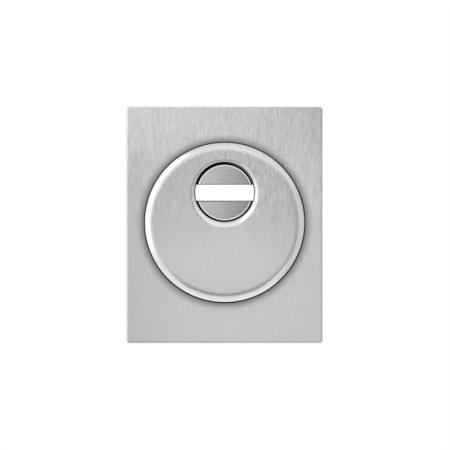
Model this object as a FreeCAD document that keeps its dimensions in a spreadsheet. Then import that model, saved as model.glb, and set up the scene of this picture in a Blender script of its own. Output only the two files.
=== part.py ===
import FreeCAD, Part
import math
import os

import Sketcher

# Security escutcheon for a profile lock cylinder, in millimetres.
# A pressed cover sits over a steel base plate. A turned boss stands out through the cover and
# shields the cylinder, and a slotted rotor in the boss turns with the key and gives way inwards.
# Frame: the door face is the plane y = 0 and the front looks along -Y. +Z is up on the door. The
# origin is where the key axis meets the door face. Heights are measured from the door face outwards.

SIZES = [
    ("profile_head", 8.5, "radius of the lock cylinder's round part"),
    ("profile_tail", 10.0, "width of the lock cylinder's lower part"),
    ("profile_length", 33.0, "lock cylinder, top to bottom"),
    ("profile_flat", 0.4, "how much flatter than a half circle its lower end is"),
    ("profile_clear", 0.5, "nylon insert round the lock cylinder"),
    ("tail_clear", 0.6, "core round the lock cylinder's lower part"),
    ("insert_wall", 1.5, "wall of the nylon insert"),
    ("insert_lip", 0.8, "lip that keeps the insert in the base plate"),
    ("insert_lip_thick", 1.0, "thickness of that lip's seat"),
    ("insert_clear", 0.1, "insert in the base plate"),
    ("fit_clear", 0.1, "clearance of the pieces that are stacked in the boss"),
    ("pin_clear", 0.02, "clearance round a pressed pin"),
    ("axial_play", 0.05, "play between pieces that lie over each other"),
    ("running_fit", 0.08, "rotor's radial clearance in its bore"),
    ("gasket_thick", 1.0, "rubber gasket"),
    ("gasket_inset", 0.4, "gasket inside the cover's outline"),
    ("gasket_clear", 0.3, "gasket round what passes through it"),
    ("base_thick", 3.0, "steel base plate"),
    ("base_fit", 0.3, "base plate inside the cover's walls"),
    ("base_corner", 1.5, "corner radius of the base plate"),
    ("ring_height", 2.5, "base plate to the retaining ring"),
    ("ring_thick", 1.0, "retaining ring"),
    ("ring_bite", 0.75, "how far the ring sits in its groove"),
    ("ring_slack", 0.05, "clearance of the ring in its groove"),
    ("spring_height", 1.5, "wave spring, as fitted"),
    ("spring_strip", 0.35, "strip of the wave spring"),
    ("washer_thick", 0.5, "thrust washer"),
    ("washer_width", 1.0, "ring-shaped face of the thrust washer"),
    ("rotor_flange", 2.0, "thickness of the rotor's flange"),
    ("rotor_step", 1.8, "rotor's flange beyond its front disc"),
    ("rotor_recess", 2.9, "lip of the boss back to the rotor's front face"),
    ("rotor_chamfer", 0.3, "chamfer round the rotor's front face"),
    ("slot_width", 4.7, "key slot, across"),
    ("slot_rim", 0.9, "rotor left beyond each end of the key slot"),
    ("slot_chamfer", 0.2, "chamfer along the key slot"),
    ("guard_thick", 2.4, "hardened guard disc, with its play"),
    ("guard_gap", 0.45, "guard disc round the rotor's front disc"),
    ("core_web", 0.87, "core left beyond the ring groove where it is thinnest"),
    ("boss_drop", 8.8, "key axis down to the middle of the boss"),
    ("boss_wall", 2.8, "thickness of the boss's side wall"),
    ("boss_face", 3.65, "thickness of the boss's front at its middle"),
    ("boss_dome", 210.0, "radius of the domed front"),
    ("edge_width", 1.65, "polished bevel round the front, across"),
    ("edge_depth", 1.5, "polished bevel round the front, deep"),
    ("edge_bow", 6.0, "radius of the slightly rounded bevel"),
    ("edge_break", 0.35, "rounding where the bevel meets the side"),
    ("lip_step", 0.2, "key opening in the boss, larger than in the guard disc"),
    ("lip_length", 2.3, "straight wall of that opening"),
    ("lip_up", 0.15, "that opening above the rotor's axis"),
    ("sink_angle", 40.0, "slope of its countersink, in degrees"),
    ("flange_reach", 2.75, "flange of the boss, beyond its side"),
    ("flange_thick", 3.7, "thickness of that flange"),
    ("flange_gap", 0.3, "flange to the inside of the cover's face"),
    ("cover_wall", 1.0, "sheet of the cover"),
    ("cover_side", 5.65, "cover beyond the boss, left and right"),
    ("cover_above", 10.9, "cover beyond the boss, above"),
    ("cover_below", 12.4, "cover beyond the boss, below"),
    ("cover_bend", 0.65, "outer radius of the folded edge"),
    ("cover_corner", 0.9, "corner radius seen from the front"),
    ("boss_gap", 0.5, "ring gap between boss and cover"),
    ("post_radius", 4.0, "shank of a threaded post"),
    ("post_length", 20.0, "shank that stands out behind the door face"),
    ("post_bore", 2.5, "radius of the thread's core hole"),
    ("post_bore_depth", 18.0, "depth of the threaded hole"),
    ("post_chamfer", 0.6, "chamfer at the end of a post"),
    ("post_flats", 10.0, "hexagon head, across its flats"),
    ("post_head", 2.0, "depth of the hexagon head's seat"),
    ("post_clear", 0.1, "post in the base plate"),
    ("post_web", 0.5, "base plate left between the seats of insert and post"),
    ("screw_inset", 2.7, "flange's rim in to the axis of a flange screw"),
    ("screw_radius", 1.5, "flange screw's thread"),
    ("screw_head", 1.3, "flange screw's countersunk head, beyond its thread"),
    ("screw_socket", 1.0, "half of the hexagon socket's flats"),
    ("screw_socket_depth", 0.8, "depth of the hexagon socket"),
    ("screw_cover", 1.3, "flange left over the tip of a screw"),
    ("pin_radius", 1.5, "locating pin"),
    ("pin_inset", 5.1, "core's rim in to the axis of a locating pin"),
    ("pin_angle", 20.0, "locating pins, down from the boss's middle, in degrees"),
    ("pin_bite", 1.2, "locating pin in the guard disc"),
    ("drill_pin_radius", 1.25, "hardened drill pin"),
    ("drill_pin_length", 6.0, "hardened drill pin"),
    ("drill_pin_web", 1.9, "core left between a drill pin and the nearest cavity"),
    ("drill_pin_low", 5.2, "lower drill pins, below the rotor's bore"),
    ("clip_thick", 0.4, "spring strip of a cover clip"),
    ("clip_width", 6.0, "cover clip, side to side"),
    ("clip_foot", 6.0, "foot of a cover clip"),
    ("clip_inset", 9.7, "base plate's side in to the middle of a clip"),
    ("clip_gap", 0.8, "cover clip's tip to the cover's face"),
    ("clip_reach", 0.05, "cover clip's bead to the cover's wall"),
    ("rivet_radius", 1.0, "shank of a clip rivet"),
    ("rivet_rim", 0.7, "clip rivet's head beyond its shank"),
    ("rivet_head", 0.6, "height of a clip rivet's head"),
    ("rivet_set", 2.6, "rivet to the end of the clip's foot"),
]

# Heights above the door face that several pieces share, from the door outwards.
BASE_BACK = "Sizes.gasket_thick"
BASE_FRONT = f"({BASE_BACK} + Sizes.base_thick)"
RING_BACK = f"({BASE_FRONT} + Sizes.ring_height)"
SPRING_BACK = f"({RING_BACK} + Sizes.ring_thick)"
WASHER_BACK = f"({SPRING_BACK} + Sizes.spring_height)"
WASHER_FRONT = f"({WASHER_BACK} + Sizes.washer_thick)"
ROTOR_BACK = f"({WASHER_FRONT} + Sizes.axial_play)"
ROTOR_STEP = f"({ROTOR_BACK} + Sizes.rotor_flange)"
GUARD_BACK = f"({ROTOR_STEP} + Sizes.axial_play)"
FACE_BACK = f"({GUARD_BACK} + Sizes.guard_thick)"
LIP_EDGE = f"({FACE_BACK} + Sizes.lip_length)"
ROTOR_FRONT = f"({LIP_EDGE} - Sizes.rotor_recess)"
CROWN = f"({FACE_BACK} + Sizes.boss_face)"
FLANGE_TOP = f"({BASE_FRONT} + Sizes.flange_thick)"
COVER_INSIDE = f"({FLANGE_TOP} + Sizes.flange_gap)"
COVER_FRONT = f"({COVER_INSIDE} + Sizes.cover_wall)"

# Radii and lengths that mating pieces share, from the key axis outwards.
INSERT_HOLE = "(Sizes.profile_head + Sizes.profile_clear)"
INSERT_EDGE = "(Sizes.profile_clear + Sizes.insert_wall)"
SEAT_EDGE = f"({INSERT_EDGE} + Sizes.insert_lip + Sizes.insert_clear)"
TAIL_END = "(Sizes.profile_length - Sizes.profile_head)"
TAIL_HALF = "(Sizes.profile_tail / 2)"
CAVITY_HALF = f"({TAIL_HALF} + Sizes.tail_clear)"
ROTOR_RADIUS = f"({INSERT_HOLE} + Sizes.washer_width)"
ROTOR_FACE = f"({ROTOR_RADIUS} - Sizes.rotor_step)"
GUARD_HOLE = f"({ROTOR_FACE} + Sizes.guard_gap)"
LIP_RADIUS = f"({GUARD_HOLE} + Sizes.lip_step)"
BORE_RADIUS = f"({ROTOR_RADIUS} + Sizes.running_fit)"
RING_OUTER = f"({BORE_RADIUS} + Sizes.ring_bite)"
CORE_RADIUS = f"(Sizes.boss_drop + {RING_OUTER} + Sizes.core_web)"
CUP_RADIUS = f"({CORE_RADIUS} + Sizes.fit_clear)"
BOSS_RADIUS = f"({CUP_RADIUS} + Sizes.boss_wall)"
FLANGE_RADIUS = f"({BOSS_RADIUS} + Sizes.flange_reach)"

# The cover's size, and what is measured from its middle.
COVER_WIDTH = f"(2 * ({BOSS_RADIUS} + Sizes.cover_side))"
COVER_HEIGHT = f"(2 * {BOSS_RADIUS} + Sizes.cover_above + Sizes.cover_below)"
BOSS_UP = "((Sizes.cover_below - Sizes.cover_above) / 2)"
KEY_UP = f"({BOSS_UP} + Sizes.boss_drop)"
BASE_WIDTH = f"({COVER_WIDTH} - 2 * Sizes.cover_wall - 2 * Sizes.base_fit)"
BASE_HEIGHT = f"({COVER_HEIGHT} - 2 * Sizes.cover_wall - 2 * Sizes.base_fit)"
CLIP_SIDE = f"({BASE_WIDTH} / 2 - Sizes.clip_inset)"
RIVET_UP = f"({BASE_HEIGHT} / 2 - Sizes.clip_foot + Sizes.rivet_set)"

# Places of posts, screws and pins. The posts stand the same way above and below the profile.
POST_STEP = f"({SEAT_EDGE} + Sizes.post_web + Sizes.post_flats / 2 + Sizes.post_clear)"
UPPER_POST = f"(Sizes.profile_head + {POST_STEP})"
LOWER_POST = f"(-{TAIL_END} - {POST_STEP})"
SCREW_STEP = f"(({FLANGE_RADIUS} - Sizes.screw_inset) * sqrt(0.5))"
PIN_CIRCLE = f"({CORE_RADIUS} - Sizes.pin_inset)"

UPRIGHT = FreeCAD.Rotation(FreeCAD.Vector(1, 0, 0), 90)
NORMAL = FreeCAD.Vector(0, 0, 1)

doc = FreeCAD.newDocument("SecurityEscutcheon")
sheet = doc.addObject("Spreadsheet::Sheet", "Sizes")
for row, (alias, size, meaning) in enumerate(SIZES, 1):
    sheet.set(f"A{row}", meaning)
    sheet.set(f"B{row}", str(size))
    sheet.setAlias(f"B{row}", alias)
doc.recompute()


def value(expression):
    """The number that an expression of the sheet's sizes gives now."""
    return float(sheet.evalExpression(expression))


def new_body(label, drop="0", side="0"):
    """A body drawn flat, with heights along its own z, and stood upright against the door."""
    body = doc.addObject("PartDesign::Body", label)
    body.Label = label
    body.AllowCompound = True
    body.Placement = FreeCAD.Placement(FreeCAD.Vector(0, 0, 0), UPRIGHT)
    body.setExpression("Placement.Base.x", side)
    body.setExpression("Placement.Base.z", f"-({drop})")
    return body


def new_sketch(body, name, offset="0", plane="XY_Plane"):
    """A sketch on one of the body's own planes, moved along that plane's normal."""
    sketch = body.newObject("Sketcher::SketchObject", f"{body.Label}_{name}_sketch")
    origin_plane = [p for p in body.Origin.OriginFeatures if p.Role == plane][0]
    sketch.AttachmentSupport = [(origin_plane, "")]
    sketch.MapMode = "FlatFace"
    sketch.setExpression("AttachmentOffset.Base.z", offset)
    return sketch


def bind(sketch, constraint, expression):
    number = sketch.addConstraint(constraint)
    sketch.setExpression(f"Constraints[{number}]", expression)


def fix_point(sketch, element, point, x, y):
    """Holds a point of the sketch at two expressions, measured from the sketch's origin."""
    for kind, expression, axis in (("DistanceX", x, -2), ("DistanceY", y, -1)):
        if expression == "0":
            sketch.addConstraint(Sketcher.Constraint("PointOnObject", element, point, axis))
        else:
            distance = Sketcher.Constraint(kind, -1, 1, element, point, value(expression))
            bind(sketch, distance, expression)


def circle(sketch, radius, x="0", y="0"):
    centre = FreeCAD.Vector(value(x), value(y), 0)
    element = sketch.addGeometry(Part.Circle(centre, NORMAL, value(radius)), False)
    fix_point(sketch, element, 3, x, y)
    bind(sketch, Sketcher.Constraint("Radius", element, value(radius)), radius)


def bowed_side(start, end, radius):
    """The arc from start to end that bows out of an outline drawn counterclockwise."""
    chord = end - start
    left = FreeCAD.Vector(-chord.y, chord.x, 0).normalize()
    depth = math.sqrt(max(radius**2 - chord.Length**2 / 4, 0))
    centre = start + chord * 0.5 + left * depth
    angles = [math.atan2(p.y - centre.y, p.x - centre.x) for p in (start, end)]
    return Part.ArcOfCircle(Part.Circle(centre, NORMAL, radius), angles[0], angles[1])


def outline(sketch, corners, bows={}):
    """A closed outline, counterclockwise. bows gives the radius of each side that is an arc."""
    points = [FreeCAD.Vector(value(x), value(y), 0) for x, y in corners]
    elements = []
    for side, start in enumerate(points):
        end = points[(side + 1) % len(points)]
        if side in bows:
            shape = bowed_side(start, end, value(bows[side]))
        else:
            shape = Part.LineSegment(start, end)
        elements.append(sketch.addGeometry(shape, False))
    for side, (x, y) in enumerate(corners):
        following = elements[(side + 1) % len(elements)]
        sketch.addConstraint(Sketcher.Constraint("Coincident", elements[side], 2, following, 1))
        fix_point(sketch, elements[side], 1, x, y)
        if side in bows:
            radius = Sketcher.Constraint("Radius", elements[side], value(bows[side]))
            bind(sketch, radius, bows[side])


def rounded_rectangle(sketch, width, height, radius):
    """A rectangle round the sketch's origin, with four corner arcs."""
    far_x, far_y = f"({width}) / 2", f"({height}) / 2"
    near_x, near_y = f"({far_x} - {radius})", f"({far_y} - {radius})"
    corners = [
        (near_x, f"-({far_y})"), (far_x, f"-({near_y})"),
        (far_x, near_y), (near_x, far_y),
        (f"-({near_x})", far_y), (f"-({far_x})", near_y),
        (f"-({far_x})", f"-({near_y})"), (f"-({near_x})", f"-({far_y})"),
    ]
    outline(sketch, corners, {0: radius, 2: radius, 4: radius, 6: radius})


def hexagon(sketch, flats, x="0", y="0"):
    """A hexagon with a flat above and a flat below, by the distance across its flats."""
    half = f"({flats}) / 2"
    point = f"({flats}) / sqrt(3)"
    corners = [
        (f"{x} + {point}", y), (f"{x} + {point} / 2", f"{y} + {half}"),
        (f"{x} - {point} / 2", f"{y} + {half}"), (f"{x} - {point}", y),
        (f"{x} - {point} / 2", f"{y} - {half}"), (f"{x} + {point} / 2", f"{y} - {half}"),
    ]
    outline(sketch, corners)


def tail_outline(sketch, edge, up="0"):
    """The lower part of the cylinder's profile, wider by edge, below a key axis at the height up."""
    half = f"({TAIL_HALF} + {edge})"
    radius = f"({half} + Sizes.profile_flat)"
    bottom = f"({up} - {TAIL_END} - {edge} + {radius} - sqrt({radius} ^ 2 - {half} ^ 2))"
    outline(sketch, [(f"-{half}", bottom), (half, bottom), (half, up), (f"-{half}", up)], {0: radius})


def solid_feature(body, kind, name, sketch, length=None):
    """A Pad, Pocket, Revolution or Groove of a sketch, made the body's tip."""
    feature = body.newObject(f"PartDesign::{kind}", f"{body.Label}_{name}")
    feature.Profile = sketch
    if length is not None:
        feature.setExpression("Length", length)
    if kind in ("Revolution", "Groove"):
        feature.ReferenceAxis = (sketch, ["V_Axis"])
        feature.Angle = 360
    sketch.Visibility = False
    doc.recompute()
    return feature


def pad(body, name, draw, bottom, top):
    """A pad between two heights of what draw puts in its sketch."""
    sketch = new_sketch(body, name, bottom)
    draw(sketch)
    return solid_feature(body, "Pad", name, sketch, f"{top} - ({bottom})")


def pocket(body, name, draw, bottom, top):
    """A pocket cut from the height top down to the height bottom."""
    sketch = new_sketch(body, name, top)
    draw(sketch)
    return solid_feature(body, "Pocket", name, sketch, f"{top} - ({bottom})")


def edges_at(body, test):
    """The names of the edges of the body's last feature that pass a test."""
    edges = enumerate(body.Tip.Shape.Edges, 1)
    return [f"Edge{number}" for number, edge in edges if not edge.Degenerated and test(edge)]


def round_edge(radius, height):
    """A test for circular edges of one radius at one height."""
    def test(edge):
        curve = edge.Curve
        return (isinstance(curve, Part.Circle) and abs(curve.Radius - value(radius)) < 1e-4
                and abs(curve.Center.z - value(height)) < 1e-4)
    return test


def dress(body, kind, name, size, test):
    """A Chamfer or Fillet on the edges that pass a test."""
    base = body.Tip
    names = edges_at(body, test)
    if not names:
        raise ValueError(f"{body.Label}: no edge found for {name}")
    feature = body.newObject(f"PartDesign::{kind}", f"{body.Label}_{name}")
    feature.Base = (base, names)
    feature.setExpression("Size" if kind == "Chamfer" else "Radius", size)
    doc.recompute()
    return feature


def make_cover_plate():
    """Pressed and folded stainless sheet, open at the back, with the hole for the boss."""
    body = new_body("cover_plate", KEY_UP)
    pad(body, "block", lambda s: rounded_rectangle(s, COVER_WIDTH, COVER_HEIGHT, "Sizes.cover_corner"),
        BASE_BACK, COVER_FRONT)
    front = value(COVER_FRONT)
    dress(body, "Fillet", "folded_edge", "Sizes.cover_bend",
          lambda edge: all(abs(v.Z - front) < 1e-6 for v in edge.Vertexes))

    def inside(sketch):
        across = f"({COVER_WIDTH} / 2 - Sizes.cover_wall)"
        along = f"({COVER_HEIGHT} / 2 - Sizes.cover_wall)"
        outline(sketch, [(f"-{across}", f"-{along}"), (across, f"-{along}"),
                         (across, along), (f"-{across}", along)])

    pocket(body, "hollow", inside, BASE_BACK, COVER_INSIDE)
    pocket(body, "boss_hole", lambda s: circle(s, f"({BOSS_RADIUS} + Sizes.boss_gap)", "0", BOSS_UP),
           BASE_BACK, COVER_FRONT)


def make_base_plate():
    """Steel plate under the cover: everything else is fastened to it."""
    body = new_body("base_plate", KEY_UP)
    pad(body, "plate", lambda s: rounded_rectangle(s, BASE_WIDTH, BASE_HEIGHT, "Sizes.base_corner"),
        BASE_BACK, BASE_FRONT)
    hole = f"({INSERT_EDGE} + Sizes.insert_clear)"
    shelf = f"({BASE_FRONT} - Sizes.insert_lip_thick)"
    pocket(body, "head_hole", lambda s: circle(s, f"(Sizes.profile_head + {hole})", "0", KEY_UP),
           BASE_BACK, BASE_FRONT)
    pocket(body, "tail_hole", lambda s: tail_outline(s, hole, KEY_UP), BASE_BACK, BASE_FRONT)
    pocket(body, "head_seat", lambda s: circle(s, f"(Sizes.profile_head + {SEAT_EDGE})", "0", KEY_UP),
           shelf, BASE_FRONT)
    pocket(body, "tail_seat", lambda s: tail_outline(s, SEAT_EDGE, KEY_UP), shelf, BASE_FRONT)
    for name, place in (("upper", UPPER_POST), ("lower", LOWER_POST)):
        up = f"({KEY_UP} + {place})"
        pocket(body, f"{name}_post_hole",
               lambda s: circle(s, "(Sizes.post_radius + Sizes.post_clear)", "0", up), BASE_BACK, BASE_FRONT)
        pocket(body, f"{name}_post_seat",
               lambda s: hexagon(s, "(Sizes.post_flats + 2 * Sizes.post_clear)", "0", up),
               f"({BASE_FRONT} - Sizes.post_head)", BASE_FRONT)
    thread = "(Sizes.screw_radius + Sizes.fit_clear)"
    pocket(body, "screw_holes", lambda s: at_screws(s, thread, BOSS_UP), BASE_BACK, BASE_FRONT)
    dress(body, "Chamfer", "screw_seats", "Sizes.screw_head", round_edge(thread, BASE_BACK))
    pocket(body, "pin_holes", lambda s: at_pins(s, "(Sizes.pin_radius + Sizes.pin_clear)", BOSS_UP),
           BASE_BACK, BASE_FRONT)
    pocket(body, "rivet_holes", lambda s: at_rivets(s, "(Sizes.rivet_radius + Sizes.pin_clear)"),
           BASE_BACK, BASE_FRONT)


def at_screws(sketch, radius, middle="0"):
    """Circles for the four flange screws, round the boss's middle at the height middle."""
    for x in (SCREW_STEP, f"-{SCREW_STEP}"):
        for y in (SCREW_STEP, f"-{SCREW_STEP}"):
            circle(sketch, radius, x, f"{middle} + {y}")


def at_pins(sketch, radius, middle="0"):
    """Circles for the two locating pins, low on either side of the boss's middle."""
    across = f"{PIN_CIRCLE} * cos(Sizes.pin_angle)"
    down = f"{PIN_CIRCLE} * sin(Sizes.pin_angle)"
    for sign in ("", "-"):
        circle(sketch, radius, f"{sign}{across}", f"{middle} - {down}")


def at_drill_pins(sketch, radius):
    """Circles for the four drill pins: beside the rotor, and beside the cylinder's lower part."""
    reach = "Sizes.drill_pin_web + Sizes.drill_pin_radius"
    for sign in ("", "-"):
        circle(sketch, radius, f"{sign}({RING_OUTER} + {reach})", "Sizes.boss_drop")
        circle(sketch, radius, f"{sign}({CAVITY_HALF} + {reach})",
               f"Sizes.boss_drop - {BORE_RADIUS} - Sizes.drill_pin_low")


def at_rivets(sketch, radius):
    """Circles for the four clip rivets, round the cover's middle."""
    for across in (CLIP_SIDE, f"-{CLIP_SIDE}"):
        for up in (RIVET_UP, f"-{RIVET_UP}"):
            circle(sketch, radius, across, up)


def make_gasket():
    """Rubber sheet between the whole back and the door."""
    body = new_body("gasket", KEY_UP)
    width = f"({COVER_WIDTH} - 2 * Sizes.gasket_inset)"
    height = f"({COVER_HEIGHT} - 2 * Sizes.gasket_inset)"
    hole = f"({INSERT_EDGE} + Sizes.gasket_clear)"
    pad(body, "sheet", lambda s: rounded_rectangle(s, width, height, "Sizes.cover_corner"), "0", BASE_BACK)
    pocket(body, "head_hole", lambda s: circle(s, f"(Sizes.profile_head + {hole})", "0", KEY_UP),
           "0", BASE_BACK)
    pocket(body, "tail_hole", lambda s: tail_outline(s, hole, KEY_UP), "0", BASE_BACK)

    def post_holes(sketch):
        for place in (UPPER_POST, LOWER_POST):
            circle(sketch, "(Sizes.post_radius + Sizes.gasket_clear)", "0", f"({KEY_UP} + {place})")

    pocket(body, "post_holes", post_holes, "0", BASE_BACK)


def make_profile_insert():
    """Nylon bush with the lock cylinder's outline, lipped so that it can't fall out at the back."""
    body = new_body("profile_insert")
    edge = f"({INSERT_EDGE} + Sizes.insert_lip)"
    shelf = f"({BASE_FRONT} - Sizes.insert_lip_thick + Sizes.axial_play)"
    top = f"({BASE_FRONT} - Sizes.axial_play)"
    pad(body, "head", lambda s: circle(s, f"(Sizes.profile_head + {INSERT_EDGE})"), "0", top)
    pad(body, "tail", lambda s: tail_outline(s, INSERT_EDGE), "0", top)
    pad(body, "head_lip", lambda s: circle(s, f"(Sizes.profile_head + {edge})"), shelf, top)
    pad(body, "tail_lip", lambda s: tail_outline(s, edge), shelf, top)
    pocket(body, "head_hole", lambda s: circle(s, INSERT_HOLE), "0", top)
    pocket(body, "tail_hole", lambda s: tail_outline(s, "Sizes.profile_clear"), "0", top)


def make_post(label, place):
    """Threaded steel post: a hexagon head in the base plate and a shank that enters the door."""
    body = new_body(label, f"-{place}")
    seat = f"({BASE_FRONT} - Sizes.post_head)"
    end = "(-Sizes.post_length)"
    pad(body, "head", lambda s: hexagon(s, "Sizes.post_flats"), seat, f"({BASE_FRONT} - Sizes.axial_play)")
    pad(body, "shank", lambda s: circle(s, "Sizes.post_radius"), end, seat)
    dress(body, "Chamfer", "end_chamfer", "Sizes.post_chamfer", round_edge("Sizes.post_radius", end))
    pocket(body, "threaded_hole", lambda s: circle(s, "Sizes.post_bore"), end,
           f"({end} + Sizes.post_bore_depth)")


def make_boss_shell():
    """Turned stainless boss: a cup with a domed, bevelled front and a flange under the cover."""
    body = new_body("boss_shell", "Sizes.boss_drop")
    rim = f"({BOSS_RADIUS} - Sizes.edge_width)"
    rim_height = f"({CROWN} - Sizes.boss_dome + sqrt(Sizes.boss_dome ^ 2 - {rim} ^ 2))"
    shoulder = f"({rim_height} - Sizes.edge_depth)"
    profile = new_sketch(body, "profile", plane="XZ_Plane")
    outline(profile, [
        (CUP_RADIUS, BASE_FRONT),
        (FLANGE_RADIUS, BASE_FRONT),
        (FLANGE_RADIUS, FLANGE_TOP),
        (BOSS_RADIUS, FLANGE_TOP),
        (BOSS_RADIUS, shoulder),
        (rim, rim_height),
        ("0", CROWN),
        ("0", FACE_BACK),
        (CUP_RADIUS, FACE_BACK),
    ], {4: "Sizes.edge_bow", 5: "Sizes.boss_dome"})
    solid_feature(body, "Revolution", "turning", profile)
    dress(body, "Fillet", "broken_edge", "Sizes.edge_break", round_edge(BOSS_RADIUS, shoulder))
    rise = f"({CROWN} - {LIP_EDGE} + 1)"
    opening = new_sketch(body, "opening", "-(Sizes.boss_drop + Sizes.lip_up)", "XZ_Plane")
    outline(opening, [
        ("0", FACE_BACK),
        (LIP_RADIUS, FACE_BACK),
        (LIP_RADIUS, LIP_EDGE),
        (f"{LIP_RADIUS} + {rise} / tan(Sizes.sink_angle)", f"{LIP_EDGE} + {rise}"),
        ("0", f"{LIP_EDGE} + {rise}"),
    ])
    solid_feature(body, "Groove", "opening", opening)
    pocket(body, "tapped_holes", lambda s: at_screws(s, "(Sizes.screw_radius + Sizes.pin_clear)"),
           BASE_FRONT, f"({FLANGE_TOP} - Sizes.screw_cover + Sizes.fit_clear)")


def make_guard_disc():
    """Hardened disc behind the boss's front, against drilling and plug pulling."""
    body = new_body("guard_disc", "Sizes.boss_drop")
    top = f"({FACE_BACK} - Sizes.axial_play)"
    pad(body, "disc", lambda s: circle(s, CORE_RADIUS), GUARD_BACK, top)
    pocket(body, "opening", lambda s: circle(s, GUARD_HOLE, "0", "Sizes.boss_drop"), GUARD_BACK, top)
    pocket(body, "pin_holes", lambda s: at_pins(s, "(Sizes.pin_radius + Sizes.pin_clear)"),
           GUARD_BACK, f"({GUARD_BACK} + Sizes.pin_bite + Sizes.fit_clear)")


def make_core_block():
    """Die-cast core that fills the boss: rotor bore, ring groove and the cylinder's cavity."""
    body = new_body("core_block", "Sizes.boss_drop")
    top = f"({GUARD_BACK} - Sizes.axial_play)"
    pad(body, "block", lambda s: circle(s, CORE_RADIUS), BASE_FRONT, top)
    pocket(body, "rotor_bore", lambda s: circle(s, BORE_RADIUS, "0", "Sizes.boss_drop"), BASE_FRONT, top)
    pocket(body, "cylinder_cavity", lambda s: tail_outline(s, "Sizes.tail_clear", "Sizes.boss_drop"),
           BASE_FRONT, SPRING_BACK)
    groove = new_sketch(body, "ring_groove", "-Sizes.boss_drop", "XZ_Plane")
    inner = f"({BORE_RADIUS} - Sizes.ring_bite)"
    outer = f"({RING_OUTER} + Sizes.ring_slack)"
    low, high = f"({RING_BACK} - Sizes.ring_slack)", f"({SPRING_BACK} + Sizes.ring_slack)"
    outline(groove, [(inner, low), (outer, low), (outer, high), (inner, high)])
    solid_feature(body, "Groove", "ring_groove", groove)
    pocket(body, "pin_holes", lambda s: at_pins(s, "(Sizes.pin_radius + Sizes.pin_clear)"), BASE_FRONT, top)
    pocket(body, "drill_pin_holes",
           lambda s: at_drill_pins(s, "(Sizes.drill_pin_radius + Sizes.pin_clear)"),
           f"({GUARD_BACK} - Sizes.drill_pin_length - Sizes.fit_clear)", top)


def make_pins():
    """Two locating pins through base plate, core and guard disc, and four hardened drill pins."""
    body = new_body("locating_pins", "Sizes.boss_drop")
    pad(body, "pins", lambda s: at_pins(s, "Sizes.pin_radius"), BASE_BACK, f"({GUARD_BACK} + Sizes.pin_bite)")
    body = new_body("drill_pins", "Sizes.boss_drop")
    pad(body, "pins", lambda s: at_drill_pins(s, "Sizes.drill_pin_radius"),
        f"({GUARD_BACK} - Sizes.drill_pin_length)", f"({GUARD_BACK} - Sizes.axial_play)")


def make_boss_screws():
    """Four countersunk screws that pull the boss's flange onto the base plate."""
    body = new_body("boss_screws", "Sizes.boss_drop")
    neck = f"({BASE_BACK} + Sizes.screw_head)"
    heads = pad(body, "heads", lambda s: at_screws(s, "(Sizes.screw_radius + Sizes.screw_head)"),
                BASE_BACK, neck)
    heads.TaperAngle = -45
    pad(body, "shanks", lambda s: at_screws(s, "Sizes.screw_radius"), BASE_BACK,
        f"({FLANGE_TOP} - Sizes.screw_cover)")

    def sockets(sketch):
        for x in (SCREW_STEP, f"-{SCREW_STEP}"):
            for y in (SCREW_STEP, f"-{SCREW_STEP}"):
                hexagon(sketch, "(2 * Sizes.screw_socket)", x, y)

    pocket(body, "sockets", sockets, BASE_BACK, f"({BASE_BACK} + Sizes.screw_socket_depth)")


def make_rotor():
    """Hardened rotor: a chamfered front disc on a wider flange, slotted right through."""
    body = new_body("rotor")
    pad(body, "flange", lambda s: circle(s, ROTOR_RADIUS), ROTOR_BACK, ROTOR_STEP)
    pad(body, "face", lambda s: circle(s, ROTOR_FACE), ROTOR_STEP, ROTOR_FRONT)
    dress(body, "Chamfer", "face_chamfer", "Sizes.rotor_chamfer", round_edge(ROTOR_FACE, ROTOR_FRONT))

    def slot(sketch):
        across, along = f"({ROTOR_RADIUS} - Sizes.slot_rim)", "(Sizes.slot_width / 2)"
        outline(sketch, [(f"-{across}", f"-{along}"), (across, f"-{along}"),
                         (across, along), (f"-{across}", along)])

    pocket(body, "key_slot", slot, ROTOR_BACK, ROTOR_FRONT)
    front, half = value(ROTOR_FRONT), value("Sizes.slot_width / 2")
    dress(body, "Chamfer", "slot_chamfer", "Sizes.slot_chamfer",
          lambda edge: all(abs(v.Z - front) < 1e-6 and abs(abs(v.Y) - half) < 1e-6 for v in edge.Vertexes))


def make_ring_pieces():
    """Thrust washer behind the rotor, and the open retaining ring that carries the spring."""
    body = new_body("thrust_washer")

    def washer(sketch):
        circle(sketch, ROTOR_RADIUS)
        circle(sketch, INSERT_HOLE)

    pad(body, "washer", washer, WASHER_BACK, WASHER_FRONT)
    body = new_body("retaining_ring")

    def ring(sketch):
        circle(sketch, RING_OUTER)
        circle(sketch, INSERT_HOLE)

    def mouth(sketch):
        outline(sketch, [(f"-{CAVITY_HALF}", f"-({RING_OUTER} + 1)"), (CAVITY_HALF, f"-({RING_OUTER} + 1)"),
                         (CAVITY_HALF, "0"), (f"-{CAVITY_HALF}", "0")])

    pad(body, "ring", ring, RING_BACK, SPRING_BACK)
    pocket(body, "mouth", mouth, RING_BACK, SPRING_BACK)


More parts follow.
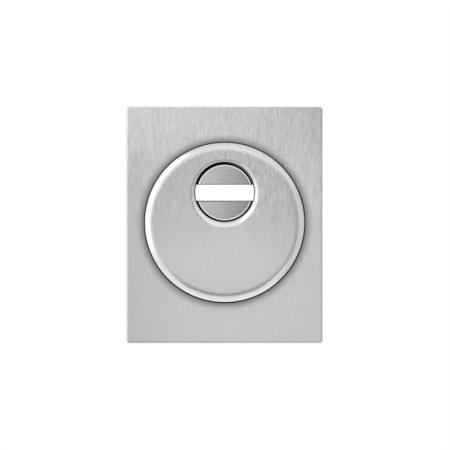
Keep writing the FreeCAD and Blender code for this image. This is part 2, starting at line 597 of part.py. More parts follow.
def make_wave_spring():
    """Wave spring between ring and washer: a flat strip that rises and falls three times a turn."""
    waves, stations = 3, 48
    inner = value(f"{INSERT_HOLE} + Sizes.running_fit")
    outer = value(f"{ROTOR_RADIUS} - Sizes.running_fit")
    strip = value("Sizes.spring_strip")
    middle = value(f"{SPRING_BACK} + Sizes.spring_height / 2")
    swing = value("(Sizes.spring_height - Sizes.spring_strip) / 2")
    sections = []
    for station in range(stations):
        angle = 2 * math.pi * station / stations
        height = middle + swing * math.cos(waves * angle)
        corners = [(inner, -0.5), (outer, -0.5), (outer, 0.5), (inner, 0.5)]
        points = [FreeCAD.Vector(radius * math.cos(angle), radius * math.sin(angle), height + level * strip)
                  for radius, level in corners]
        sections.append(Part.makePolygon(points + points[:1]))
    feature = doc.addObject("Part::Feature", "wave_spring")
    feature.Label = "wave_spring"
    feature.Shape = Part.makeLoft(sections + sections[:1], True, True)
    feature.Placement = FreeCAD.Placement(FreeCAD.Vector(0, 0, 0), UPRIGHT)


def make_clip(label, across, up):
    """Spring clip on the base plate: its bead presses on the cover's upper or lower wall."""
    body = new_body(label, KEY_UP, f"{across}{CLIP_SIDE}")
    leg = f"({BASE_HEIGHT} / 2)"
    bead = f"({leg} + Sizes.base_fit - Sizes.clip_reach)"
    inner = f"({leg} - Sizes.clip_thick)"
    foot_end = f"({leg} - Sizes.clip_foot)"
    foot_top = f"({BASE_FRONT} + Sizes.clip_thick)"
    tip = f"({COVER_INSIDE} - Sizes.clip_gap)"
    middle = f"(({foot_top} + {tip}) / 2)"
    side = new_sketch(body, "side", "-Sizes.clip_width / 2", "YZ_Plane")
    points = [
        (foot_end, BASE_FRONT), (leg, BASE_FRONT), (leg, foot_top), (bead, middle), (leg, tip),
        (inner, tip), (f"({bead} - Sizes.clip_thick)", middle), (inner, foot_top), (foot_end, foot_top),
    ]
    if up == "-":
        points = [(f"-{y}", z) for y, z in reversed(points)]
    outline(side, points)
    solid_feature(body, "Pad", "strip", side, "Sizes.clip_width")
    pocket(body, "rivet_hole",
           lambda s: circle(s, "(Sizes.rivet_radius + Sizes.pin_clear)", "0", f"{up}{RIVET_UP}"),
           BASE_FRONT, foot_top)


def make_clip_rivets():
    """Four rivets that hold the clips' feet on the base plate."""
    body = new_body("clip_rivets", KEY_UP)
    seat = f"({BASE_FRONT} + Sizes.clip_thick)"
    top = f"({seat} + Sizes.rivet_head)"
    rim = "(Sizes.rivet_radius + Sizes.rivet_rim)"
    pad(body, "shanks", lambda s: at_rivets(s, "Sizes.rivet_radius"), BASE_BACK, seat)
    pad(body, "heads", lambda s: at_rivets(s, rim), seat, top)
    dress(body, "Fillet", "domes", "Sizes.rivet_head * 0.8", round_edge(rim, top))


def pieces():
    """The sub-parts: every body and every free-standing shape."""
    return [item for item in doc.Objects if item.TypeId in ("PartDesign::Body", "Part::Feature")]


def check_document():
    """Stops if any object failed, or if a piece has no valid solid."""
    for item in doc.Objects:
        if {"Invalid", "Error"} & set(item.State):
            raise ValueError(f"{item.Name} failed: {item.State} {item.getStatusString()}")
    for piece in pieces():
        shape = piece.Shape
        if shape.isNull() or not shape.isValid() or not shape.Solids:
            raise ValueError(f"{piece.Label} has no valid solid")


make_cover_plate()
make_base_plate()
make_gasket()
make_profile_insert()
make_post("upper_post", UPPER_POST)
make_post("lower_post", LOWER_POST)
make_boss_shell()
make_guard_disc()
make_core_block()
make_pins()
make_boss_screws()
make_rotor()
make_ring_pieces()
make_wave_spring()
for name, across, up in (("upper_right_clip", "", ""), ("upper_left_clip", "-", ""),
                         ("lower_right_clip", "", "-"), ("lower_left_clip", "-", "-")):
    make_clip(name, across, up)
make_clip_rivets()
doc.recompute()
check_document()

os.makedirs("parts", exist_ok=True)
for piece in pieces():
    piece.Shape.exportStep(f"parts/{piece.Label}.step")
    box = piece.Shape.BoundBox
    print(f"{piece.Label}: {len(piece.Shape.Solids)} solids, {piece.Shape.Volume:.1f} mm3,",
          f"x {box.XMin:.2f} {box.XMax:.2f},", f"y {box.YMin:.2f} {box.YMax:.2f},",
          f"z {box.ZMin:.2f} {box.ZMax:.2f}")
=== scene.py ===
import math

import bmesh
import bpy
from mathutils import Matrix, Vector


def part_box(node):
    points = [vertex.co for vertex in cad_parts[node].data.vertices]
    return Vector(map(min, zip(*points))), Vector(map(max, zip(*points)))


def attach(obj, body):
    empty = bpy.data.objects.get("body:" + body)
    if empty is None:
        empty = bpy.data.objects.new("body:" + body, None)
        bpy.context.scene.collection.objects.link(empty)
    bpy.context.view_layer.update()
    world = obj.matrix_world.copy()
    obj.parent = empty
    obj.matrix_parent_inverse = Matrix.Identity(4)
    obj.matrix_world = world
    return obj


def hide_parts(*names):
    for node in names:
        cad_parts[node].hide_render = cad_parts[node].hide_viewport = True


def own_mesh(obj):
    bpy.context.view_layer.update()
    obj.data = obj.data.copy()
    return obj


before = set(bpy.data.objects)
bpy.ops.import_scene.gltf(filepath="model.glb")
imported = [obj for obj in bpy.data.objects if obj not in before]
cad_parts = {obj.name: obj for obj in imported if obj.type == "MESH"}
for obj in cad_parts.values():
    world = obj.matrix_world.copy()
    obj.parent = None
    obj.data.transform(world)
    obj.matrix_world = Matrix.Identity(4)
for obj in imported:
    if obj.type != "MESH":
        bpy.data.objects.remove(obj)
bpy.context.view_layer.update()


# The gasket is a flat sheet of black rubber between the whole back and the door.
# It is punched out in one piece, with openings for the lock cylinder and the two threaded posts,
# and the cover's rim overlaps it by a little all round.
MM = 0.001
PROFILE_HEAD = 8.5 * MM
PROFILE_TAIL = 5.0 * MM
PROFILE_END = 24.5 * MM
POST_PLACES = {"upper_post": 17.0 * MM, "lower_post": -33.0 * MM}
GASKET_CORNER = 0.9 * MM
GASKET_OPENING = 2.3 * MM
GASKET_POST_HOLE = 4.3 * MM
RUBBER_EDGE = 0.12 * MM
CUT_BEYOND = 1.0 * MM
NEAR = 0.01 * MM
TAIL_ROUND = 0.97
CREASE = math.radians(30)
RUBBER_DARK = (0.012, 0.012, 0.013, 1)
RUBBER_DUSTY = (0.035, 0.034, 0.033, 1)


class Signal:
    """One output of a shader node, so that maths on it reads as plain sums."""

    def __init__(self, finish, socket):
        self.finish = finish
        self.socket = socket

    def maths(self, operation, *values):
        return self.finish.node("Math", {"operation": operation}, dict(enumerate(values)))

    def __add__(self, other):
        return self.maths("ADD", self, other)

    def __sub__(self, other):
        return self.maths("SUBTRACT", self, other)

    def __rsub__(self, other):
        return self.maths("SUBTRACT", other, self)

    def __mul__(self, other):
        return self.maths("MULTIPLY", self, other)

    def __truediv__(self, other):
        return self.maths("DIVIDE", self, other)

    def __pow__(self, other):
        return self.maths("POWER", self, other)

    __radd__ = __add__
    __rmul__ = __mul__


class Finish:
    """The shader nodes of a material or of the world, added one at a time."""

    def __init__(self, owner):
        owner.use_nodes = True
        self.owner = owner
        self.tree = owner.node_tree
        self.tree.nodes.clear()

    def node(self, kind, settings={}, sockets={}, output=0):
        """Adds a node with its settings, then its sockets' values or links, and gives one output."""
        made = self.tree.nodes.new("ShaderNode" + kind)
        for name, value in settings.items():
            setattr(made, name, value)
        for name, value in sockets.items():
            if isinstance(value, Signal):
                self.tree.links.new(value.socket, made.inputs[name])
            else:
                made.inputs[name].default_value = value
        return Signal(self, made.outputs[output]) if made.outputs else None

    def place(self, centre=(0, 0, 0), scale=(1, 1, 1)):
        """Object coordinates in metres, measured from a centre and then stretched."""
        shift = tuple(-c * s for c, s in zip(centre, scale))
        return self.node("Mapping", {}, {
            "Vector": self.node("TexCoord", output="Object"), "Location": shift, "Scale": scale})

    def along(self, axis):
        """The place along one axis of the object, in metres."""
        return self.node("SeparateXYZ", {}, {0: self.place()}, output=axis)

    def distance(self, centre):
        """The distance in metres from an axis that runs straight out from the door."""
        flat = self.place(centre, (1, 0, 1))
        return self.node("VectorMath", {"operation": "LENGTH"}, {0: flat}, output="Value")

    def noise(self, scale, detail):
        """Noise between 0 and 1, with so many grains per metre along each axis."""
        return self.node("TexNoise", {}, {
            "Vector": self.place(scale=scale), "Scale": 1.0, "Detail": detail})

    def ramp(self, value, low, high):
        """0 below low, 1 above high, with a soft change in between."""
        return self.node("MapRange", {"interpolation_type": "SMOOTHSTEP"}, {
            "Value": value, "From Min": low, "From Max": high})

    def blend(self, factor, first, second):
        """A colour between two colours."""
        return self.node("Mix", {"data_type": "RGBA"}, {0: factor, 6: first, 7: second}, output=2)

    def surface(self, colour, roughness, metallic=0.0, relief=None, depth=0.0):
        """Ends the material: one shader, with a bump where relief and its depth are given."""
        sockets = {"Base Color": colour, "Roughness": roughness, "Metallic": metallic}
        if relief is not None:
            sockets["Normal"] = self.node("Bump", {}, {"Strength": 1.0, "Distance": depth, "Height": relief})
        shader = self.node("BsdfPrincipled", {}, sockets)
        self.node("OutputMaterial", {}, {"Surface": shader})
        return self.owner


def block(low, high):
    """A box between two corners."""
    shape = bmesh.new()
    low, high = Vector(low), Vector(high)
    size = high - low
    placed = Matrix.Translation((low + high) / 2) @ Matrix.Diagonal((*size, 1))
    bmesh.ops.create_cube(shape, size=1, matrix=placed)
    return shape


def rod(radius, z, back, front, sides=96):
    """A closed cylinder with its axis in the middle plane, between two heights above the door."""
    shape = bmesh.new()
    placed = Matrix.Translation((0, -(back + front) / 2, z)) @ Matrix.Rotation(math.pi / 2, 4, "X")
    bmesh.ops.create_cone(shape, cap_ends=True, segments=sides, radius1=radius, radius2=radius,
                          depth=front - back, matrix=placed)
    return shape


def upright(edge):
    """Whether an edge runs straight out from the door."""
    first, second = edge.verts
    return math.hypot(first.co.x - second.co.x, first.co.z - second.co.z) < NEAR


def round_corners(shape, radius):
    """Rounds the corners that a plate shows from the front."""
    edges = [edge for edge in shape.edges if upright(edge)]
    bmesh.ops.bevel(shape, geom=edges, offset=radius, segments=6, profile=0.5,
                    affect="EDGES", material=-1)


def new_object(shape, name):
    """An object of the scene made of a bmesh, with its faces turned outwards."""
    bmesh.ops.recalc_face_normals(shape, faces=shape.faces)
    mesh = bpy.data.meshes.new(name)
    shape.to_mesh(mesh)
    shape.free()
    made = bpy.data.objects.new(name, mesh)
    bpy.context.scene.collection.objects.link(made)
    return made


def combine(piece, operation, *shapes):
    """Cuts closed shapes out of a piece, or adds them to it, one after the other."""
    for shape in shapes:
        tool = new_object(shape, "tool")
        working = piece.modifiers.new("working", "BOOLEAN")
        working.operation = operation
        working.solver = "EXACT"
        working.object = tool
        graph = bpy.context.evaluated_depsgraph_get()
        worked = bpy.data.meshes.new_from_object(piece.evaluated_get(graph))
        piece.modifiers.clear()
        piece.data = worked
        bpy.data.objects.remove(tool)


def profile_bar(edge, back, front):
    """The lock cylinder's profile, wider by edge all round: its round head, and its lower part."""
    half = PROFILE_TAIL + edge
    tail = block((-half, -front, -PROFILE_END - edge), (half, -back, 0))
    lower = [e for e in tail.edges if upright(e) and e.verts[0].co.z < -PROFILE_TAIL]
    bmesh.ops.bevel(tail, geom=lower, offset=half * TAIL_ROUND, segments=16, profile=0.5,
                    affect="EDGES", material=-1)
    return rod(PROFILE_HEAD + edge, 0, back, front), tail


def finish_piece(piece, material, rounding=0.0, segments=2, sharpest=34):
    """Gives a piece its material, smooth shading and, where it is given, rounded edges."""
    piece.data.materials.clear()
    piece.data.materials.append(material)
    piece.data.shade_smooth()
    if rounding:
        edges = piece.modifiers.new("rounded edges", "BEVEL")
        edges.width = rounding
        edges.segments = segments
        edges.limit_method = "ANGLE"
        edges.angle_limit = math.radians(sharpest)
    else:
        piece.data.set_sharp_from_angle(angle=CREASE)
    shading = piece.modifiers.new("flat faces stay flat", "WEIGHTED_NORMAL")
    shading.keep_sharp = True


low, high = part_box("gasket")
gasket_sheet = block(low, high)
round_corners(gasket_sheet, GASKET_CORNER)
gasket = new_object(gasket_sheet, "rubber_gasket")
combine(gasket, "DIFFERENCE", *profile_bar(GASKET_OPENING, -CUT_BEYOND, CUT_BEYOND - low.y))
for height in POST_PLACES.values():
    combine(gasket, "DIFFERENCE", rod(GASKET_POST_HOLE, height, -CUT_BEYOND, CUT_BEYOND - low.y, sides=48))

rubber = Finish(bpy.data.materials.new("black_rubber"))
rubber_pores = rubber.noise((9000, 9000, 9000), detail=3)
rubber_dust = rubber.ramp(rubber.noise((160, 160, 160), detail=4), 0.42, 0.72)
finish_piece(gasket, rubber.surface(
    rubber.blend(rubber_dust * 0.7, RUBBER_DARK, RUBBER_DUSTY),
    0.62 + 0.2 * rubber_pores, relief=rubber_pores, depth=0.03 * MM), rounding=RUBBER_EDGE)
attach(gasket, "housing")
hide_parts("gasket")


# The base plate is a blanked steel plate that carries all the rest. It is bright zinc plated, and
# lies in the cover with a narrow gap all round, so little of it shows.
ZINC_LIGHT = (0.60, 0.61, 0.62, 1)
ZINC_GREY = (0.42, 0.43, 0.45, 1)


def keep_node(node, material):
    """Gives a piece that keeps its CAD mesh its finish."""
    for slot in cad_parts[node].material_slots:
        slot.material = material


zinc = Finish(bpy.data.materials.new("bright_zinc_plating"))
zinc_clouds = zinc.ramp(zinc.noise((220, 220, 220), detail=5), 0.3, 0.7)
zinc_grain = zinc.noise((2600, 2600, 2600), detail=3)
zinc.surface(zinc.blend(zinc_clouds, ZINC_GREY, ZINC_LIGHT), 0.28 + 0.22 * zinc_clouds + 0.08 * zinc_grain,
             metallic=1.0, relief=zinc_grain, depth=0.01 * MM)
keep_node("base_plate", zinc.owner)


# The two posts go through the door and take its fixing screws from the inside. Each is turned from
# hexagon steel bar, tapped from its far end, and zinc plated. Its head sits in the base plate.
POST_RADIUS = 4.0 * MM
POST_BACK = -20.0 * MM
POST_CHAMFER = 0.6 * MM
POST_FLATS = 10.0 * MM
POST_HEAD_BACK = 2.0 * MM
THREAD_ROOT = 2.95 * MM
THREAD_CREST = 2.5 * MM
THREAD_PITCH = 1.0 * MM
THREAD_DEPTH = 18.0 * MM
THREAD_STEPS = 32
THREAD_LAND = 0.2 * MM
POST_IN_HEAD = 0.5 * MM
SAME = 0.001 * MM


def thread_surface(z, back, front):
    """The inside of a tapped hole: a groove that climbs round and round, cut off square at both ends."""
    shape = bmesh.new()
    start = back - THREAD_PITCH
    turns = math.ceil((front - start) / THREAD_PITCH)
    rungs = [(THREAD_ROOT, 0.0), (THREAD_ROOT, 0.1), (THREAD_CREST, 0.45), (THREAD_CREST, 0.65),
             (THREAD_ROOT, 1.0)]
    points = [shape.verts.new((radius, -(start + share * THREAD_PITCH), z)) for radius, share in rungs]
    section = [shape.edges.new(pair) for pair in zip(points, points[1:])]
    bmesh.ops.spin(shape, geom=points + section, cent=(0, 0, z), axis=(0, -1, 0), angle=2 * math.pi * turns,
                   steps=THREAD_STEPS * turns, dvec=(0, -THREAD_PITCH / THREAD_STEPS, 0), use_merge=False)
    bmesh.ops.remove_doubles(shape, verts=shape.verts, dist=SAME)
    for height, normal in ((back, (0, 1, 0)), (front, (0, -1, 0))):
        bmesh.ops.bisect_plane(shape, geom=shape.verts[:] + shape.edges[:] + shape.faces[:],
                               plane_co=(0, -height, 0), plane_no=normal, clear_outer=True)
    return shape


def rim_at(shape, height):
    """The open edges of a shape at one height above the door."""
    return [edge for edge in shape.edges
            if edge.is_boundary and all(abs(vertex.co.y + height) < SAME for vertex in edge.verts)]


def carry_rim(shape, rim, z, radius, height):
    """Draws an open rim on to a circle round a point of the middle plane, and gives the new rim."""
    drawn = bmesh.ops.extrude_edge_only(shape, edges=rim)["geom"]
    for vertex in (item for item in drawn if isinstance(item, bmesh.types.BMVert)):
        out = Vector((vertex.co.x, vertex.co.z - z)).normalized() * radius
        vertex.co = (out.x, -height, z + out.y)
    return [item for item in drawn if isinstance(item, bmesh.types.BMEdge)]


plated = Finish(bpy.data.materials.new("plated_turned_steel"))
turning_marks = plated.noise((400, 5200, 400), detail=2)
plated_clouds = plated.noise((300, 300, 300), detail=3)
plated.surface(plated.blend(plated_clouds, ZINC_GREY, ZINC_LIGHT), 0.24 + 0.2 * turning_marks,
               metallic=1.0, relief=turning_marks, depth=0.01 * MM)

for name, z in POST_PLACES.items():
    shank = thread_surface(z, POST_BACK, POST_BACK + THREAD_DEPTH)
    rim = rim_at(shank, POST_BACK)
    for radius, height in ((THREAD_ROOT + THREAD_LAND, POST_BACK), (POST_RADIUS - POST_CHAMFER, POST_BACK),
                           (POST_RADIUS, POST_BACK + POST_CHAMFER),
                           (POST_RADIUS, POST_HEAD_BACK + POST_IN_HEAD)):
        rim = carry_rim(shank, rim, z, radius, height)
    bmesh.ops.edgeloop_fill(shank, edges=rim)
    bmesh.ops.edgeloop_fill(shank, edges=rim_at(shank, POST_BACK + THREAD_DEPTH))
    low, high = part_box(name)
    placed = Matrix.Translation((0, -(POST_HEAD_BACK - low.y) / 2, z)) @ Matrix.Rotation(math.pi / 2, 4, "X")
    head = bmesh.new()
    bmesh.ops.create_cone(head, cap_ends=True, segments=6, radius1=POST_FLATS / math.sqrt(3),
                          radius2=POST_FLATS / math.sqrt(3), depth=-low.y - POST_HEAD_BACK, matrix=placed)
    bmesh.ops.rotate(head, verts=head.verts, cent=(0, 0, z), matrix=Matrix.Rotation(math.pi / 2, 3, "Y"))
    post = new_object(shank, "threaded_" + name)
    combine(post, "UNION", head)
    finish_piece(post, plated.owner)
    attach(post, "housing")
    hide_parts(name)


# The insert is a bush of black nylon with the lock cylinder's outline. It centres the escutcheon on
# the cylinder, and its lip holds it in the base plate from the front.
INSERT_WALL = 2.0 * MM
INSERT_LIP = 2.8 * MM
INSERT_HOLE = 0.5 * MM
INSERT_SHELF = 3.05 * MM
INSERT_EDGE = 0.12 * MM
NYLON_BLACK = (0.016, 0.016, 0.017, 1)
NYLON_WORN = (0.045, 0.045, 0.046, 1)

low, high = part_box("profile_insert")
insert_head, insert_tail = profile_bar(INSERT_WALL, -high.y, -low.y)
insert = new_object(insert_head, "nylon_insert")
combine(insert, "UNION", insert_tail, *profile_bar(INSERT_LIP, INSERT_SHELF, -low.y))
combine(insert, "DIFFERENCE", *profile_bar(INSERT_HOLE, -CUT_BEYOND, CUT_BEYOND - low.y))

nylon = Finish(bpy.data.materials.new("black_nylon"))
nylon_skin = nylon.noise((2200, 2200, 2200), detail=2)
nylon_rub = nylon.ramp(nylon.noise((500, 90, 500), detail=3), 0.5, 0.8)
finish_piece(insert, nylon.surface(
    nylon.blend(nylon_rub, NYLON_BLACK, NYLON_WORN), 0.36 + 0.16 * nylon_skin,
    relief=nylon_skin, depth=0.02 * MM), rounding=INSERT_EDGE)
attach(insert, "housing")
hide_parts("profile_insert")


# The core fills the boss behind its guard disc. It is a zinc die casting, bored for the rotor, and it
# carries the hardened drill pins and locating pins. The clips' rivets are finished like those pins,
# and the boss's screws like the posts.
CAST_LIGHT = (0.36, 0.36, 0.37, 1)
CAST_DARK = (0.22, 0.22, 0.23, 1)
PIN_GREY = (0.45, 0.45, 0.46, 1)
PIN_BLUE = (0.30, 0.31, 0.34, 1)

cast = Finish(bpy.data.materials.new("zinc_casting"))
cast_grain = cast.noise((1500, 1500, 1500), detail=5)
cast_flow = cast.noise((120, 120, 120), detail=3)
cast.surface(cast.blend(cast_flow, CAST_DARK, CAST_LIGHT), 0.5 + 0.18 * cast_grain,
             metallic=1.0, relief=cast_grain, depth=0.04 * MM)
keep_node("core_block", cast.owner)

ground = Finish(bpy.data.materials.new("ground_steel"))
ground_lines = ground.noise((500, 9000, 500), detail=2)
ground.surface(ground.blend(ground_lines, PIN_BLUE, PIN_GREY), 0.22 + 0.18 * ground_lines,
               metallic=1.0, relief=ground_lines, depth=0.005 * MM)
for node in ("locating_pins", "drill_pins", "clip_rivets"):
    keep_node(node, ground.owner)
keep_node("boss_screws", plated.owner)


# The rotor runs on a thrust washer that a wave spring presses forward. The spring stands on an open
# retaining ring in the core's groove. These and the cover's four clips are spring steel, blued by
# their hardening.
SPRING_INNER = 9.08 * MM
SPRING_OUTER = 9.92 * MM
SPRING_STRIP = 0.35 * MM
SPRING_BACK = 7.5 * MM
SPRING_HEIGHT = 1.5 * MM
SPRING_WAVES = 3
SPRING_STATIONS = 120
TEMPER_BLUE = (0.20, 0.22, 0.27, 1)
TEMPER_STRAW = (0.42, 0.37, 0.30, 1)

tempered = Finish(bpy.data.materials.new("tempered_spring_steel"))
temper_clouds = tempered.ramp(tempered.noise((140, 140, 140), detail=3), 0.35, 0.75)
temper_grain = tempered.noise((3500, 900, 3500), detail=2)
tempered.surface(tempered.blend(temper_clouds, TEMPER_BLUE, TEMPER_STRAW), 0.26 + 0.2 * temper_grain,
                 metallic=1.0, relief=temper_grain, depth=0.008 * MM)
for node in ("thrust_washer", "retaining_ring", "upper_left_clip", "upper_right_clip",
             "lower_left_clip", "lower_right_clip"):
    keep_node(node, tempered.owner)

strip = bmesh.new()
corners = [strip.verts.new((radius, -(SPRING_BACK + height), 0))
           for radius, height in ((SPRING_INNER, 0), (SPRING_OUTER, 0),
                                  (SPRING_OUTER, SPRING_STRIP), (SPRING_INNER, SPRING_STRIP))]
sides = [strip.edges.new((corners[k], corners[(k + 1) % 4])) for k in range(4)]
bmesh.ops.spin(strip, geom=corners + sides, cent=(0, 0, 0), axis=(0, 1, 0), angle=2 * math.pi,
               steps=SPRING_STATIONS, use_merge=True)
swing = (SPRING_HEIGHT - SPRING_STRIP) / 2
for vertex in strip.verts:
    turn = math.atan2(vertex.co.z, vertex.co.x)
    vertex.co.y -= swing * (1 + math.cos(SPRING_WAVES * turn))
spring = new_object(strip, "rotor_wave_spring")
finish_piece(spring, tempered.owner)
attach(spring, "housing")
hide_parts("wave_spring")
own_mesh(spring)


# The rotor turns with the key, so that the slot in the boss always shows the keyway. It is turned
# from hardened stainless steel, brushed along the slot, and its edges are broken. Its face is painted
# lighter to the left and the top as the light on it, a thin band at its front edge is painted bright
# as a highlight, its flange and side are painted near black as shade, and the eased lower edge of
# the slot is painted dark grey as shade.
ROTOR_BACK = 9.55 * MM
ROTOR_STEP = 11.55 * MM
ROTOR_FRONT = 13.4 * MM
ROTOR_RADIUS = 10.0 * MM
ROTOR_FACE = 8.2 * MM
ROTOR_STEPS = 160
SLOT_HALF = 2.35 * MM
SLOT_REACH = 9.1 * MM
SLOT_CHAMFER = 0.2 * MM
SLOT_EASE = 0.45 * MM
SLOT_EASE_DEPTH = 0.25 * MM
EASE_FACING = 0.2
ROTOR_EDGE = 0.05 * MM
ROTOR_BREAK = 0.03 * MM
RIM_WIDTH = 0.32 * MM
ROTOR_LIGHT = (0.74, 0.74, 0.745, 1)
ROTOR_DARK = (0.22, 0.22, 0.225, 1)
RIM_HIGHLIGHT = (0.90, 0.90, 0.90, 1)
RIM_HIGHLIGHT_GREY = (0.80, 0.80, 0.80, 1)
FLANGE_SHADE_BLACK = (0.004, 0.004, 0.004, 1)
FLANGE_SHADE_GREY = (0.012, 0.012, 0.012, 1)
EASE_SHADE_DARK = (0.24, 0.24, 0.235, 1)
EASE_SHADE_PALE = (0.34, 0.34, 0.335, 1)


def new_ring(shape, z, radius, height, steps):
    """An open ring of edges round a point of the middle plane, which faces the front."""
    placed = Matrix.Translation((0, -height, z)) @ Matrix.Rotation(math.pi / 2, 4, "X")
    ring = bmesh.ops.create_circle(shape, cap_ends=False, segments=steps, radius=radius, matrix=placed)
    points = set(ring["verts"])
    return [edge for edge in shape.edges if points.issuperset(edge.verts)]


def add_finish(piece, finish):
    """Gives a piece one more material, and tells its place in the piece's list."""
    piece.data.materials.append(finish.owner)
    return len(piece.data.materials) - 1


turned = bmesh.new()
rim = new_ring(turned, 0, ROTOR_RADIUS, ROTOR_BACK, ROTOR_STEPS)
bmesh.ops.edgeloop_fill(turned, edges=rim)
for radius, height in ((ROTOR_RADIUS, ROTOR_STEP), (ROTOR_FACE, ROTOR_STEP),
                       (ROTOR_FACE, ROTOR_FRONT - ROTOR_EDGE), (ROTOR_FACE - ROTOR_EDGE, ROTOR_FRONT),
                       (ROTOR_FACE - RIM_WIDTH, ROTOR_FRONT)):
    rim = carry_rim(turned, rim, 0, radius, height)
bmesh.ops.edgeloop_fill(turned, edges=rim)
rotor = new_object(turned, "slotted_rotor")

key_slot = bmesh.new()
above = SLOT_HALF + 2 * SLOT_CHAMFER
below = -SLOT_HALF - 2 * SLOT_EASE
section = [(-SLOT_HALF, ROTOR_BACK - CUT_BEYOND), (SLOT_HALF, ROTOR_BACK - CUT_BEYOND),
           (SLOT_HALF, ROTOR_FRONT - SLOT_CHAMFER), (above, ROTOR_FRONT + SLOT_CHAMFER),
           (below, ROTOR_FRONT + SLOT_EASE_DEPTH), (-SLOT_HALF, ROTOR_FRONT - SLOT_EASE_DEPTH)]
end = key_slot.faces.new([key_slot.verts.new((-SLOT_REACH, -height, z)) for z, height in section])
drawn = bmesh.ops.extrude_face_region(key_slot, geom=[end])["geom"]
bmesh.ops.translate(key_slot, vec=(2 * SLOT_REACH, 0, 0),
                    verts=[item for item in drawn if isinstance(item, bmesh.types.BMVert)])
combine(rotor, "DIFFERENCE", key_slot)

rotor_steel = Finish(bpy.data.materials.new("brushed_rotor_steel"))
rotor_lines = rotor_steel.noise((300, 5200, 5200), detail=4)
rotor_bands = rotor_steel.noise((60, 1500, 1500), detail=2)
rotor_specks = rotor_steel.noise((2600, 4500, 4500), detail=1)
# Painted light: the face is made lighter to the left and towards the top, standing in for the light on it;
# the lines, bands and specks are its brushing.
rotor_left_sheen = (ROTOR_FACE - rotor_steel.along("X")) / (2 * ROTOR_FACE)
rotor_tone_and_sheen = (0.11 + 0.6 * rotor_left_sheen + 8.0 * rotor_steel.along("Z") + 0.5 * (rotor_lines - 0.5)
              + 0.15 * (rotor_bands - 0.5) + 0.3 * (rotor_specks - 0.5))
rotor_steel.surface(rotor_steel.blend(rotor_tone_and_sheen, ROTOR_DARK, ROTOR_LIGHT), 0.26 + 0.14 * rotor_lines,
                    metallic=1.0, relief=rotor_lines, depth=0.008 * MM)
# Painted highlight: the edge break and a thin band of the face inside it take a brighter steel, standing in
# for the light that the broken edge catches.
rim_highlight = Finish(bpy.data.materials.new("rotor_edge_painted_highlight"))
rim_highlight_marks = rim_highlight.noise((900, 900, 900), detail=3)
rim_highlight.surface(rim_highlight.blend(rim_highlight_marks, RIM_HIGHLIGHT_GREY, RIM_HIGHLIGHT), 0.12 + 0.1 * rim_highlight_marks, metallic=1.0)
# Painted shade: the flange and the outer wall of the face are near black, standing in for the shade in the
# gap round the rotor.
flange_shade = Finish(bpy.data.materials.new("rotor_flange_painted_shade"))
flange_shade_grain = flange_shade.noise((2500, 2500, 2500), detail=3)
flange_shade.surface(flange_shade.blend(flange_shade_grain, FLANGE_SHADE_BLACK, FLANGE_SHADE_GREY), 0.45 + 0.2 * flange_shade_grain,
             metallic=1.0, relief=flange_shade_grain, depth=0.01 * MM)
# Painted shade: the eased lower edge of the slot faces up and takes a dark grey steel, standing in for the
# dark that it mirrors.
ease_shade = Finish(bpy.data.materials.new("slot_ease_painted_shade"))
ease_shade_marks = ease_shade.noise((700, 2500, 2500), detail=3)
ease_shade.surface(ease_shade.blend(ease_shade_marks, EASE_SHADE_DARK, EASE_SHADE_PALE), 0.3 + 0.2 * ease_shade_marks, metallic=1.0)
finish_piece(rotor, rotor_steel.owner, rounding=ROTOR_BREAK)
painted_rim_highlight = add_finish(rotor, rim_highlight)
shaded_side = add_finish(rotor, flange_shade)
shaded_ease = add_finish(rotor, ease_shade)
for face in rotor.data.polygons:
    out = math.hypot(face.center.x, face.center.z)
    fore = -face.center.y
    if out > ROTOR_FACE - RIM_WIDTH and fore > ROTOR_FRONT - ROTOR_EDGE:
        face.material_index = painted_rim_highlight
    elif out > ROTOR_FACE - NEAR and fore < ROTOR_FRONT - ROTOR_EDGE:
        face.material_index = shaded_side
    elif fore > ROTOR_FRONT - SLOT_EASE_DEPTH and face.normal.z > EASE_FACING:
        face.material_index = shaded_ease
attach(rotor, "rotor")
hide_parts("rotor")


# The guard disc lies behind the boss's front and takes the load when the plug is pulled. It is
# hardened steel, oil blacked, and painted lighter towards the right as the light on it. Only the
# edge of its hole shows.
OXIDE_BLACK = (0.010, 0.010, 0.010, 1)
OXIDE_BROWN = (0.028, 0.025, 0.022, 1)
LIT_STEEL = (0.34, 0.315, 0.29, 1)
LIT_FROM = -2.5 * MM
LIT_TO = 9.0 * MM

blacked = Finish(bpy.data.materials.new("blacked_hard_steel"))
oxide_clouds = blacked.ramp(blacked.noise((420, 420, 420), detail=4), 0.4, 0.75)
oxide_grain = blacked.noise((2400, 2400, 2400), detail=2)
# Painted light: the oxide turns to bright steel towards the right, standing in for the light on that side.
oxide_lit_right = blacked.ramp(blacked.along("X"), LIT_FROM, LIT_TO)
oxide = blacked.blend(oxide_clouds, OXIDE_BLACK, OXIDE_BROWN)
blacked.surface(blacked.blend(oxide_lit_right * (0.7 + 0.6 * (oxide_grain - 0.5)), oxide, LIT_STEEL),
                0.42 + 0.2 * oxide_grain, metallic=1.0, relief=oxide_grain, depth=0.01 * MM)
keep_node("guard_disc", blacked.owner)


